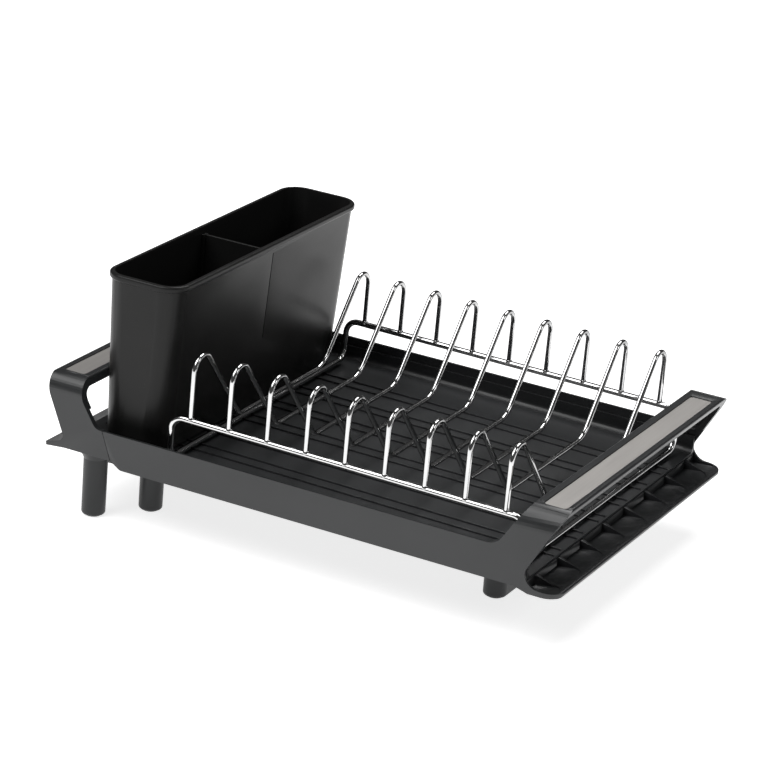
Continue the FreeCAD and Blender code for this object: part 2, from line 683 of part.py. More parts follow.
def make_leg(label, x, y, height, stretch="0"):
    """A hollow-footed leg, drafted towards its foot and flared where it meets the tray."""
    body = doc.addObject("PartDesign::Body", label + "_body")
    radius = value("Sizes.leg_diameter / 2")
    half = value(stretch) / 2
    names = {}
    for part, reach, role in (("stem", radius, "Sizes.leg_diameter / 2"),
                              ("flare", radius + size("leg_flare"),
                               "Sizes.leg_diameter / 2 + Sizes.leg_flare"),
                              ("socket", value("Sizes.pad_diameter / 2 + Sizes.pad_gap"),
                               "Sizes.pad_diameter / 2 + Sizes.pad_gap")):
        sketch = body_sketch(body, f"{label}_{part}_outline")
        if half > 0:
            slot_outline(sketch, reach, half, role, f"({stretch}) / 2")
        else:
            sketch.addGeometry(Part.Circle(V(), V(0, 0, 1), reach))
            sketch.addConstraint(Sketcher.Constraint("Coincident", 0, 3, -1, 1))
            which = sketch.addConstraint(Sketcher.Constraint("Radius", 0, reach))
            sketch.setExpression(f"Constraints[{which}]", role)
        names[part] = sketch
    stem = body.newObject("PartDesign::Pad", label + "_stem")
    stem.Profile = names["stem"]
    stem.setExpression("Length", f"({height}) - Sizes.pad_proud")
    stem.Reversed = True
    stem.setExpression("TaperAngle", "-Sizes.leg_draft")
    doc.recompute()
    flare = body.newObject("PartDesign::Pad", label + "_flare")
    flare.Profile = names["flare"]
    flare.setExpression("Length", "2 * Sizes.leg_flare")
    flare.Reversed = True
    flare.TaperAngle = -math.degrees(math.atan(0.5)) - size("leg_draft")
    doc.recompute()
    foot = f"Sizes.pad_proud - ({height})"
    rounded = body_round(body, label + "_round", flare, foot, "Sizes.leg_round")
    names["socket"].setExpression("AttachmentOffset.Base.z", foot)
    socket = body.newObject("PartDesign::Pocket", label + "_socket")
    socket.Profile = names["socket"]
    socket.setExpression("Length", "Sizes.pad_thickness - Sizes.pad_proud")
    socket.Reversed = True
    doc.recompute()
    if socket.Shape.Volume >= rounded.Shape.Volume - 1:
        raise RuntimeError(f"{label} has no socket for its pad")
    for axis, expression in (("x", x), ("y", y), ("z", height)):
        body.setExpression(f"Placement.Base.{axis}", str(expression))
    return subpart(body, label)


def slot_outline(sketch, radius, half, radius_role, half_role):
    """Sketch a slot along Y: two half circles joined by straight sides."""
    for sign in (1, -1):
        circle = Part.Circle(V(0, sign * half, 0), V(0, 0, 1), radius)
        start = 0 if sign > 0 else math.pi
        sketch.addGeometry(Part.ArcOfCircle(circle, start, start + math.pi))
    sketch.addGeometry(Part.LineSegment(V(-radius, half, 0), V(-radius, -half, 0)))
    sketch.addGeometry(Part.LineSegment(V(radius, -half, 0), V(radius, half, 0)))
    for first, first_end, second, second_end in ((0, 2, 2, 1), (2, 2, 1, 1), (1, 2, 3, 1), (3, 2, 0, 1)):
        sketch.addConstraint(Sketcher.Constraint("Tangent", first, first_end, second, second_end))
    sketch.addConstraint(Sketcher.Constraint("Equal", 0, 1))
    sketch.addConstraint(Sketcher.Constraint("PointOnObject", 0, 3, -2))
    for arc, sign in ((0, 1), (1, -1)):
        which = sketch.addConstraint(Sketcher.Constraint("DistanceY", -1, 1, arc, 3, sign * half))
        sketch.setExpression(f"Constraints[{which}]", f"{sign} * {half_role}")
    which = sketch.addConstraint(Sketcher.Constraint("Radius", 0, radius))
    sketch.setExpression(f"Constraints[{which}]", radius_role)


def make_pad(label, x, y, stretch="0"):
    """A rubber foot that plugs into the bottom of a leg."""
    body = doc.addObject("PartDesign::Body", label + "_body")
    sketch = body_sketch(body, label + "_outline")
    radius, half = value("Sizes.pad_diameter / 2"), value(stretch) / 2
    if half > 0:
        slot_outline(sketch, radius, half, "Sizes.pad_diameter / 2", f"({stretch}) / 2")
    else:
        sketch.addGeometry(Part.Circle(V(), V(0, 0, 1), radius))
        sketch.addConstraint(Sketcher.Constraint("Coincident", 0, 3, -1, 1))
        which = sketch.addConstraint(Sketcher.Constraint("Radius", 0, radius))
        sketch.setExpression(f"Constraints[{which}]", "Sizes.pad_diameter / 2")
    pad = body.newObject("PartDesign::Pad", label + "_pad")
    pad.Profile = sketch
    pad.setExpression("Length", "Sizes.pad_thickness")
    doc.recompute()
    body_round(body, label + "_edge", pad, "0", "Sizes.pad_proud / 2")
    body.setExpression("Placement.Base.x", str(x))
    body.setExpression("Placement.Base.y", str(y))
    return subpart(body, label)


# ---------------------------------------------------------------- wires

def bent_rod(points, bends, diameter, closed=False):
    """Sweep a round wire along a route of straight runs; bends are the radii at its corners."""
    count = len(points)
    ends, arcs = {}, {}
    inner = range(count) if closed else range(1, count - 1)
    for index, bend in zip(inner, bends):
        before, here, after = points[index - 1], points[index], points[(index + 1) % count]
        back = (before - here).normalize()
        ahead = (after - here).normalize()
        half_turn = (math.pi - back.getAngle(ahead)) / 2
        reach = bend * math.tan(half_turn)
        middle = (back + ahead).normalize()
        nearest = here + middle * (bend / math.cos(half_turn) - bend)
        ends[index] = (here + back * reach, here + ahead * reach)
        arcs[index] = Part.Arc(ends[index][0], nearest, ends[index][1]).toShape()
    route = []
    for index in range(count if closed else count - 1):
        after = (index + 1) % count
        start = ends.get(index, (points[index], points[index]))[1]
        end = ends.get(after, (points[after], points[after]))[0]
        route.append(Part.makeLine(start, end))
        route += [arcs[after]] if after in arcs else []
    first = route[0]
    profile = Part.Wire(Part.makeCircle(diameter / 2, first.firstVertex().Point, first.tangentAt(0)))
    return Part.Wire(route).makePipeShell([profile], True, False)


def on_rack(feature):
    """Stand a wire on the inner tray's ribs, tilted as the floor is."""
    turn = FreeCAD.Rotation(V(0, 1, 0), size("drain_fall"))
    pivot = V(place("ext_right"), 0, place("rib_top_right") + size("rest_gap"))
    feature.Placement = FreeCAD.Placement(pivot, turn)
    return feature


def rack_x(index):
    """Distance of a plate wire from the rack's pivot, along the floor."""
    return place("rack_left") + size("rack_end") + index * size("slot_pitch") - place("ext_right")


def make_frame():
    """The closed frame: two rails that bend down into cross wires at the ends."""
    low = size("frame_wire") / 2
    high = low + size("rail_rise")
    left = place("rack_left") - place("ext_right")
    right = left + place("rack_length")
    front, rear = -size("rack_depth") / 2, size("rack_depth") / 2
    route = [V(left, front, high), V(right, front, high), V(right, front, low), V(right, rear, low),
             V(right, rear, high), V(left, rear, high), V(left, rear, low), V(left, front, low)]
    feature = doc.addObject("Part::Feature", "frame_rod")
    bends = [size("frame_bend")] * len(route)
    feature.Shape = bent_rod(route, bends, size("frame_wire"), closed=True)
    return subpart(on_rack(feature), "rack_frame")


def loop_corner(reach, low, top, bend):
    """Height of the corner over an upright, for a loop of a bend's radius with its top at a height.

    The wire comes down from the loop to a point at a reach from the upright, and at a low level.
    """
    across, down = reach - bend, low - (top - bend)
    away = math.hypot(across, down)
    touch = math.atan2(down, across) + math.acos(bend / away)
    return top - bend + bend * (1 + math.cos(touch)) / math.sin(touch)


def make_plate_wire(index):
    """A plate wire: up from the front rail, over a loop, down, along, up, and over to the rear."""
    front, rear = -size("rack_depth") / 2, size("rack_depth") / 2
    rail = size("frame_wire") / 2 + size("rail_rise")
    foot = rail + size("frame_wire") / 2 - size("weld_sink")
    low = rail - size("dish_dip")
    front_corner = loop_corner(size("dish_front"), low, rail + size("front_loop"),
                               size("front_loop_bend"))
    rear_corner = loop_corner(size("dish_rear"), low, rail + size("rear_loop"),
                              size("rear_loop_bend"))
    x = rack_x(index)
    route = [V(x, front, foot), V(x, front, front_corner), V(x, front + size("dish_front"), low),
             V(x, rear - size("dish_rear"), low), V(x, rear, rear_corner), V(x, rear, foot)]
    bends = [size(f"{corner}_bend") for corner in ("front_loop", "dish_front", "dish_rear", "rear_loop")]
    feature = doc.addObject("Part::Feature", f"plate_rod_{index + 1}")
    feature.Shape = bent_rod(route, bends, size("plate_wire"))
    return subpart(on_rack(feature), f"plate_wire_{index + 1}")


# ---------------------------------------------------------------- caddy

def caddy_section(name, inset, level):
    """A cross-section of the caddy at a level above its base, inset from its outer face."""
    below_rim = f"(Sizes.caddy_height - ({level}))"
    narrowing = f"2 * (Sizes.caddy_bead + ({inset}) + {below_rim} * Places.caddy_taper)"
    section = rounded_rectangle(name, f"Sizes.caddy_width - {narrowing}",
                                f"Places.caddy_depth - {narrowing}",
                                f"Sizes.caddy_corner - ({inset})", f"Places.caddy_base + ({level})")
    lean = f"{below_rim} * Sizes.caddy_lean / Sizes.caddy_height"
    section.setExpression("Placement.Base.x", f"Places.caddy_x - {lean}")
    section.setExpression("Placement.Base.y", "Sizes.caddy_back")
    return section


def make_caddy():
    """The tall drafted cutlery caddy, with a rolled rim, drain slots and guides for its divider."""
    height, wall = "Sizes.caddy_height", "Sizes.caddy_wall"
    outside = loft("caddy_outside", caddy_section("caddy_foot", "0", "0"),
                   caddy_section("caddy_mouth", "0", height))
    bead = doc.addObject("Part::Extrusion", "caddy_bead")
    bead.Base = caddy_section("caddy_bead_outline", "-Sizes.caddy_bead", height)
    bead.DirMode = "Normal"
    bead.Solid = True
    bead.Reversed = True
    bead.setExpression("LengthFwd", "Sizes.caddy_bead_height")
    doc.recompute()
    blank = fuse("caddy_blank", outside, rounded_rim("caddy_rolled_bead", bead))
    inside = loft("caddy_inside", caddy_section("caddy_inside_low", wall, "Sizes.caddy_floor"),
                  caddy_section("caddy_inside_high", wall, height + " + 1"))
    shell = cut("caddy_shell", blank, inside)
    slots = []
    length, width, count = size("drain_length"), size("drain_width"), int(size("drain_slots"))
    for number in range(count):
        y = (number - (count - 1) / 2) * place("caddy_depth") / (count + 1.5)
        slots.append(Part.makeBox(length, width, size("caddy_floor") + 2 * PAST,
                                  V(place("caddy_x") - size("caddy_lean") - length / 2,
                                    y + size("caddy_back") - width / 2, place("caddy_base") - PAST)))
    drain = doc.addObject("Part::Feature", "caddy_slots")
    drain.Shape = Part.makeCompound(slots)
    shell = cut("caddy_drained", shell, drain, caddy_groove())
    gap = "(Sizes.divider_thickness / 2 + Sizes.slide_gap / 2 + Sizes.guide_thickness / 2)"
    guide_top = "(Sizes.caddy_height - Sizes.divider_below_rim)"
    guide_foot = "Places.caddy_base + Sizes.caddy_floor / 2"
    guide_head = f"Places.caddy_base + {guide_top}"
    guides = []
    for side in range(4):
        x_sign = -1 if side < 2 else 1
        y_sign = -1 if side % 2 == 0 else 1
        low, high = caddy_inside_x(x_sign, "Sizes.caddy_floor"), caddy_inside_x(x_sign, guide_top)
        flange = outline(f"caddy_guide_side_{side}", ALONG_Y, [
            (f"{low} - {x_sign} * Sizes.guide_depth", guide_foot),
            (f"{low} + {x_sign} * {wall} / 2", guide_foot),
            (f"{high} + {x_sign} * {wall} / 2", guide_head),
            (f"{high} - {x_sign} * Sizes.guide_depth", guide_head)])
        flange.setExpression("Placement.Base.y", f"Sizes.caddy_back + {y_sign} * {gap}")
        guides.append(extrusion(f"caddy_guide_{side}", flange, "Sizes.guide_thickness"))
    return subpart(fuse("caddy_whole", shell, *guides), "caddy_body")


def rounded_rim(name, bead):
    """Round a bead's upper and lower edges."""
    radius = size("bead_round")
    rolled = doc.addObject("Part::Fillet", name)
    rolled.Base = bead
    rolled.Edges = [(number, radius, radius) for number, edge in enumerate(bead.Shape.Edges, start=1)
                    if edge.BoundBox.ZLength < NEAR]
    doc.recompute()
    return rolled


def caddy_inside_x(side, level):
    """Where the caddy's inner face towards -X (side -1) or +X (side 1) is at a level."""
    below_rim = f"(Sizes.caddy_height - {level})"
    face = "Sizes.caddy_width / 2 - Sizes.caddy_bead - Sizes.caddy_wall"
    half = f"({face} - {below_rim} * Places.caddy_taper)"
    return f"Places.caddy_x + {side} * {half} - {below_rim} * Sizes.caddy_lean / Sizes.caddy_height"


def caddy_groove():
    """A thin upright groove in the caddy's face towards the wire rack, beside the divider."""
    face = "(Places.caddy_x + Sizes.caddy_width / 2 - Sizes.caddy_bead)"
    rim = "(Places.caddy_base + Sizes.caddy_height)"
    top = "(Sizes.caddy_bead_height + Sizes.seam_below_bead)"
    foot = f"({top} + Sizes.seam_length)"
    side = outline("caddy_groove_side", ALONG_Y, [
        (f"{face} - {top} * Places.caddy_slant - Sizes.seam_depth", f"{rim} - {top}"),
        (f"{face} + {PAST}", f"{rim} - {top}"), (f"{face} + {PAST}", f"{rim} - {foot}"),
        (f"{face} - {foot} * Places.caddy_slant - Sizes.seam_depth", f"{rim} - {foot}")])
    side.setExpression("Placement.Base.y", "Sizes.caddy_back + Sizes.seam_offset")
    return extrusion("caddy_groove", side, "Sizes.seam_width")


def make_divider():
    """The plate that splits the caddy in two, with the caddy's own draft."""
    level = "(Sizes.caddy_height - Sizes.divider_below_rim)"
    low, high = "Places.caddy_base + Sizes.caddy_floor", f"Places.caddy_base + {level}"
    gap = "Sizes.slide_gap"
    sketch = outline("divider_outline", ALONG_Y, [
        (f"{caddy_inside_x(-1, 'Sizes.caddy_floor')} + {gap}", low),
        (f"{caddy_inside_x(1, 'Sizes.caddy_floor')} - {gap}", low),
        (f"{caddy_inside_x(1, level)} - {gap}", high), (f"{caddy_inside_x(-1, level)} + {gap}", high)])
    sketch.setExpression("Placement.Base.y", "Sizes.caddy_back")
    return subpart(extrusion("divider_plate", sketch, "Sizes.divider_thickness"), "caddy_divider")


# ---------------------------------------------------------------- assembly and export

def make_legs():
    """The six legs and their pads, mirrored front to back."""
    ext_x = "(Sizes.ext_leg_inset_x - Places.half_length)"
    ext_y = "(Places.half_depth - Sizes.ext_leg_inset_y)"
    left_x = "(Places.main_left + Sizes.main_leg_left)"
    right_x = "(Places.half_length - Sizes.main_leg_right)"
    for side, sign in (("front", "-"), ("rear", "")):
        for name, x, y, height, stretch in (
                ("extension", ext_x, f"{sign}{ext_y}", "Places.ext_base", "0"),
                ("left", left_x, f"{sign}Sizes.main_leg_y", "Places.main_under", "0"),
                ("right", right_x, f"{sign}Sizes.right_leg_y", "Places.main_under",
                 "Sizes.leg_stretch")):
            make_leg(f"{name}_{side}_leg", x, y, height, stretch)
            make_pad(f"{name}_{side}_foot_pad", x, y, stretch)


def main():
    """Build every piece, check them all, and write one STEP file for each."""
    subpart(fuse("main_finned", make_main_tray(), make_fins()), "main_tray")
    make_extension_tray()
    make_inlay("main_handle_inlay", "Places.main_bar_x")
    make_inlay("extension_handle_inlay", "Places.ext_bar_x")
    make_legs()
    make_frame()
    for index in range(int(size("slot_wires"))):
        make_plate_wire(index)
    make_caddy()
    make_divider()
    doc.recompute()
    for item in doc.Objects:
        if "Invalid" in item.State or "Error" in item.State:
            raise RuntimeError(f"{item.Name} did not compute: {item.State}")
    os.makedirs("parts", exist_ok=True)
    for item in subparts:
        shape = item.Shape
        if shape.isNull() or not shape.isValid() or len(shape.Solids) != 1:
            raise RuntimeError(f"{item.Label} is not one valid solid")
        shape.exportStep(f"parts/{item.Label}.step")
        box = shape.BoundBox
        print(f"{item.Label}: {shape.Volume / 1000:.1f} cm3, "
              f"x {box.XMin:.1f} {box.XMax:.1f} y {box.YMin:.1f} {box.YMax:.1f} "
              f"z {box.ZMin:.1f} {box.ZMax:.1f}")


main()
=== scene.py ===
"""An expandable dish drying rack: moulded trays, a wire plate rack and a cutlery caddy.

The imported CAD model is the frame. Its trays, caddy and divider are carried over as welded meshes
with softened edges. Its wires, inlays, legs and soles keep their shape, small collars are added at
the welds, and every surface gets a finish.
"""
import logging
import math
from dataclasses import dataclass, field
from enum import Enum
from typing import Any, Optional, Union

import bmesh
import bpy
from mathutils import Matrix, Vector


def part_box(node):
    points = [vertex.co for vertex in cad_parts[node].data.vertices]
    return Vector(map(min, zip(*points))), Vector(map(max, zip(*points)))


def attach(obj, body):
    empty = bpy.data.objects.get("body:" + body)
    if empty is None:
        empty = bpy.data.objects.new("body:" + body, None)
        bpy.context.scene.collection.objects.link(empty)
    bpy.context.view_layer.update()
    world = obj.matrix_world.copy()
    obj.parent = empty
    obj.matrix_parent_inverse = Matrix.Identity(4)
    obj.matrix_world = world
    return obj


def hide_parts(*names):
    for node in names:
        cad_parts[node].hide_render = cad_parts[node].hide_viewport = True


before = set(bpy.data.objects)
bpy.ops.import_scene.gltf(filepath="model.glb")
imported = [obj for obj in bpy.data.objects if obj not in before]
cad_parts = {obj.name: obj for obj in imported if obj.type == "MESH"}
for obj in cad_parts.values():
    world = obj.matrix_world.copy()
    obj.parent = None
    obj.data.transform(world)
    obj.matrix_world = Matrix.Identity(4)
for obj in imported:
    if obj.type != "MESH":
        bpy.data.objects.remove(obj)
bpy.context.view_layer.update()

SAME_POINT = 2e-6  # metres; CAD vertices nearer than this are one point
SHARP_ANGLE = 35.0  # degrees; faces that meet more sharply shade as an edge
SENSOR_WIDTH = 36.0  # millimetres
MIDDLE = 0.5  # the value that a noise texture varies around
log = logging.getLogger("dish_rack")


class Body(Enum):
    """The rack's moving bodies, by the names that the frame gives them."""

    OUTER_TRAY = "outer_tray"
    INNER_TRAY = "inner_tray"
    WIRE_RACK = "wire_rack"
    CADDY = "caddy"
    DIVIDER = "divider"


class Slot(Enum):
    """The record's material slots."""

    TRAY = "tray_plastic"
    CADDY = "caddy_plastic"
    LEG = "leg_plastic"
    CHROME = "chrome_wire"
    INLAY = "satin_metal"
    RUBBER = "rubber_pad"


# ---------------------------------------------------------------- shader graphs

class Signal:
    """One output socket of a shader graph, with arithmetic that adds Math nodes."""

    def __init__(self, graph: "Graph", socket: bpy.types.NodeSocket) -> None:
        """Wrap a socket.

        Args:
            graph: the graph that the socket belongs to.
            socket: the output socket.
        """
        self.graph = graph
        self.socket = socket

    def _math(self, operation: str, *values: Any) -> "Signal":
        """Add a Math node with these values as its inputs."""
        return self.graph.node("ShaderNodeMath", {"operation": operation},
                               dict(enumerate(values)))

    def __add__(self, other: Any) -> "Signal":
        """Sum."""
        return self._math("ADD", self, other)

    def __radd__(self, other: Any) -> "Signal":
        """Sum, the other way round."""
        return self._math("ADD", other, self)

    def __sub__(self, other: Any) -> "Signal":
        """Difference."""
        return self._math("SUBTRACT", self, other)

    def __mul__(self, other: Any) -> "Signal":
        """Product."""
        return self._math("MULTIPLY", self, other)

    def ramp(self, low: float, high: float, start: float = 0.0, end: float = 1.0) -> "Signal":
        """Map the value smoothly from low..high to start..end.

        Args:
            low: the value that gives start.
            high: the value that gives end.
            start: the result at and below low.
            end: the result at and above high.

        Returns:
            The mapped value.
        """
        return self.graph.node("ShaderNodeMapRange", {"interpolation_type": "SMOOTHSTEP"},
                               {"Value": self, "From Min": low, "From Max": high,
                                "To Min": start, "To Max": end})


Value = Union[Signal, float, tuple]


class Graph:
    """Builds one material's nodes."""

    def __init__(self, name: str) -> None:
        """Start an empty material.

        Args:
            name: the material's name.
        """
        self.material = bpy.data.materials.new(name)
        self.material.use_nodes = True
        self.tree = self.material.node_tree
        self.tree.nodes.clear()
        self.where = self.node("ShaderNodeTexCoord", {}, {}, "Object")

    def node(self, kind: str, settings: dict, inputs: dict,
             output: Union[str, int] = 0) -> Signal:
        """Add a node.

        Args:
            kind: the node's type.
            settings: attributes to set first.
            inputs: values or signals by input name or number.
            output: the output to return.

        Returns:
            The chosen output.
        """
        made = self.tree.nodes.new(kind)
        for key, setting in settings.items():
            setattr(made, key, setting)
        for key, given in inputs.items():
            if isinstance(given, Signal):
                self.tree.links.new(given.socket, made.inputs[key])
            else:
                made.inputs[key].default_value = given
        return Signal(self, made.outputs[output])

    def noise(self, scale: float, detail: float = 3.0,
              stretch: tuple = (1.0, 1.0, 1.0)) -> Signal:
        """Noise in metres, stretched by a factor along each axis.

        Args:
            scale: features to the metre.
            detail: octaves.
            stretch: how much the pattern is squeezed along each axis.

        Returns:
            The noise, from 0 to 1.
        """
        place = self.node("ShaderNodeMapping", {}, {"Vector": self.where, "Scale": stretch},
                          "Vector")
        return self.node("ShaderNodeTexNoise", {}, {"Vector": place, "Scale": scale,
                                                    "Detail": detail, "Roughness": 0.55})

    def cells(self, scale: float) -> Signal:
        """Distance to the nearest of scattered points, for speckles and pits."""
        return self.node("ShaderNodeTexVoronoi", {}, {"Vector": self.where, "Scale": scale},
                         "Distance")

    def mix(self, share: Value, first: Value, second: Value) -> Signal:
        """Blend two colours.

        Args:
            share: how much of the second to take.
            first: a colour or signal.
            second: a colour or signal.

        Returns:
            The blended colour.
        """
        made = self.tree.nodes.new("ShaderNodeMix")
        made.data_type = "RGBA"
        for socket, given in ((made.inputs[0], share), (made.inputs[6], first),
                              (made.inputs[7], second)):
            if isinstance(given, Signal):
                self.tree.links.new(given.socket, socket)
            else:
                socket.default_value = given
        return Signal(self, made.outputs[2])

    def bump(self, height: Signal, depth: float, strength: float = 1.0,
             under: Optional[Signal] = None) -> Signal:
        """Relief from a height signal.

        Args:
            height: the relief's height, from 0 to 1.
            depth: the height that 1 stands for, in metres.
            strength: how much of it shows.
            under: the normal to start from.

        Returns:
            The bent normal.
        """
        inputs: dict = {"Height": height, "Distance": depth, "Strength": strength}
        if under is not None:
            inputs["Normal"] = under
        return self.node("ShaderNodeBump", {}, inputs)

    def finish(self, **inputs: Value) -> bpy.types.Material:
        """Close the graph with a Principled shader.

        Args:
            inputs: the shader's inputs, with underscores for spaces.

        Returns:
            The finished material.
        """
        named = {key.replace("_", " "): given for key, given in inputs.items()}
        shader = self.node("ShaderNodeBsdfPrincipled", {}, named)
        output = self.tree.nodes.new("ShaderNodeOutputMaterial")
        self.tree.links.new(shader.socket, output.inputs["Surface"])
        return self.material


def grey(level: float, warmth: float = 0.0) -> tuple:
    """A grey as a colour, a little warm (positive) or cool (negative)."""
    return (level * (1 + warmth), level, level * (1 - warmth), 1.0)


@dataclass(frozen=True)
class MouldedPlastic:
    """Dark satin plastic with a fine spark-eroded texture and faint handling marks."""

    name: str
    level: float
    warmth: float = -0.05
    gloss: float = 0.36
    reflection: float = 0.5
    grain: float = 2600.0
    grain_depth: float = 0.00003
    cloud: float = 9.0
    smear: float = 38.0
    swell: float = 26.0
    swell_depth: float = 0.0003
    dust: float = 420.0
    dust_share: float = 0.35
    dust_tone: tuple = grey(0.16, 0.03)
    darker: float = 0.86
    lighter: float = 1.14

    def build(self) -> bpy.types.Material:
        """Make the material."""
        graph = Graph(self.name)
        cloud = graph.noise(self.cloud, 4.0)
        smear = graph.noise(self.smear, 3.0, (1.0, 0.35, 1.0))
        grain = graph.noise(self.grain, 2.0)
        dust = graph.cells(self.dust)
        specks = dust.ramp(0.03, 0.09, 1.0, 0.0) * graph.noise(60.0, 1.0).ramp(0.56, 0.7)
        tone = graph.mix(cloud.ramp(0.3, 0.7), grey(self.level * self.darker, self.warmth),
                         grey(self.level * self.lighter, self.warmth))
        tone = graph.mix(specks * self.dust_share, tone, self.dust_tone)
        rough = (self.gloss + (cloud - MIDDLE) * 0.07 + (smear - MIDDLE) * 0.1
                 + (grain - MIDDLE) * 0.06)
        relief = graph.bump(grain, self.grain_depth, strength=0.55)
        relief = graph.bump(graph.noise(self.swell, 2.0), self.swell_depth, strength=0.12,
                            under=relief)
        return graph.finish(Base_Color=tone, Roughness=rough, Specular_IOR_Level=self.reflection,
                            Normal=relief)


@dataclass(frozen=True)
class ChromePlate:
    """Bright plated wire with faint drawing lines, dulled spots and dried water marks."""

    name: str
    level: float = 0.66
    rim: float = 0.16
    gloss: float = 0.07
    haze: float = 55.0
    spots: float = 140.0
    ripple: float = 300.0
    ripple_depth: float = 0.00002
    dulled: float = 0.9

    def build(self) -> bpy.types.Material:
        """Make the material."""
        graph = Graph(self.name)
        haze = graph.noise(self.haze, 3.0)
        spots = graph.cells(self.spots)
        marks = spots.ramp(0.1, 0.16, 1.0, 0.0) * graph.noise(22.0, 1.0).ramp(0.55, 0.66)
        ripple = graph.noise(self.ripple, 2.0)
        tone = graph.mix(haze.ramp(0.35, 0.75), grey(self.level, 0.005),
                         grey(self.level * self.dulled, -0.01))
        rough = self.gloss + haze.ramp(0.4, 0.8) * 0.06 + marks * 0.1
        relief = graph.bump(ripple, self.ripple_depth, strength=0.08)
        return graph.finish(Base_Color=tone, Roughness=rough, Metallic=1.0,
                            Specular_Tint=grey(self.rim), Normal=relief)


@dataclass(frozen=True)
class BrushedInlay:
    """A satin metal strip, brushed along its length."""

    name: str
    level: float = 0.43
    warmth: float = 0.04
    gloss: float = 0.5
    lines: float = 1500.0
    long_lines: float = 420.0
    line_depth: float = 0.00002
    darker: float = 0.86
    lighter: float = 1.12
    clouded: float = 0.8

    def build(self) -> bpy.types.Material:
        """Make the material."""
        graph = Graph(self.name)
        lines = graph.noise(self.lines, 2.0, (1.0, 0.012, 1.0))
        long_lines = graph.noise(self.long_lines, 2.0, (1.0, 0.006, 1.0))
        cloud = graph.noise(14.0, 3.0)
        tone = graph.mix(lines * 0.6 + long_lines * 0.4,
                         grey(self.level * self.darker, self.warmth),
                         grey(self.level * self.lighter, self.warmth))
        tone = graph.mix(cloud.ramp(0.4, 0.75) * 0.25, tone,
                         grey(self.level * self.clouded, self.warmth))
        rough = self.gloss + (lines - MIDDLE) * 0.22 + (cloud - MIDDLE) * 0.08
        relief = graph.bump(lines, self.line_depth, strength=0.5)
        return graph.finish(Base_Color=tone, Roughness=rough, Metallic=0.85, Normal=relief)


@dataclass(frozen=True)
class RubberSole:
    """Matt black rubber with scuffs and a little dust."""

    name: str
    level: float = 0.018
    roughness: float = 0.78
    scuff: float = 160.0
    scuffed: float = 2.4
    pores: float = 1800.0
    pore_depth: float = 0.0001

    def build(self) -> bpy.types.Material:
        """Make the material."""
        graph = Graph(self.name)
        scuff = graph.noise(self.scuff, 4.0)
        relief = graph.bump(graph.cells(self.pores), self.pore_depth, strength=0.4)
        tone = graph.mix(scuff.ramp(0.5, 0.75), grey(self.level),
                         grey(self.level * self.scuffed, 0.03))
        rough = self.roughness + (scuff - MIDDLE) * 0.2
        return graph.finish(Base_Color=tone, Roughness=rough, Normal=relief)


@dataclass(frozen=True)
class StudioPaper:
    """The pale, softly underlit floor that the rack stands on."""

    name: str
    level: float = 0.8
    glow: float = 0.78
    roughness: float = 0.8
    darker: float = 0.98

    def build(self) -> bpy.types.Material:
        """Make the material."""
        graph = Graph(self.name)
        cloud = graph.noise(3.0, 2.0)
        tone = graph.mix(cloud, grey(self.level), grey(self.level * self.darker))
        return graph.finish(Base_Color=tone, Roughness=self.roughness, Emission_Color=grey(1.0),
                            Emission_Strength=self.glow)


# ---------------------------------------------------------------- pieces

def dress(piece: bpy.types.Object, material: bpy.types.Material) -> None:
    """Give a piece one material, in place of any it has."""
    piece.data.materials.clear()
    piece.data.materials.append(material)


def add_piece(name: str, shape: bmesh.types.BMesh, body: Body,
              material: bpy.types.Material) -> bpy.types.Object:
    """Turn a bmesh into a piece that rides on a body.

    Args:
        name: the piece's name.
        shape: its mesh, which is freed.
        body: the body it moves with.
        material: its finish.

    Returns:
        The new object.
    """
    mesh = bpy.data.meshes.new(name)
    shape.to_mesh(mesh)
    shape.free()
    piece = bpy.data.objects.new(name, mesh)
    bpy.context.scene.collection.objects.link(piece)
    dress(piece, material)
    mesh.polygons.foreach_set("use_smooth", [True] * len(mesh.polygons))
    mesh.set_sharp_from_angle(angle=math.radians(SHARP_ANGLE))
    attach(piece, body.value)
    log.info("%s: %d faces on %s", name, len(mesh.polygons), body.value)
    return piece


@dataclass
class SoftEdges:
    """Carries a CAD node over as one welded mesh whose hard edges are softened."""

    width: float = 0.0005
    segments: int = 2
    angle: float = 28.0

    def carry(self, node: str, name: str, body: Body, slot: Slot,
              material: bpy.types.Material) -> bpy.types.Object:
        """Make the welded copy of a node, and let it stand for the node.

        Args:
            node: the CAD node.
            name: the new piece's name.
            body: the body it moves with.
            slot: the record's slot; not used.
            material: its finish.

        Returns:
            The new piece.
        """
        shape = bmesh.new()
        shape.from_mesh(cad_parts[node].data)
        bmesh.ops.remove_doubles(shape, verts=shape.verts, dist=SAME_POINT)
        bmesh.ops.recalc_face_normals(shape, faces=shape.faces)
        piece = add_piece(name, shape, body, material)
        bevel = piece.modifiers.new("soft_edges", "BEVEL")
        bevel.width = self.width
        bevel.segments = self.segments
        bevel.limit_method = "ANGLE"
        bevel.angle_limit = math.radians(self.angle)
        bevel.harden_normals = True
        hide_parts(node)
        return piece


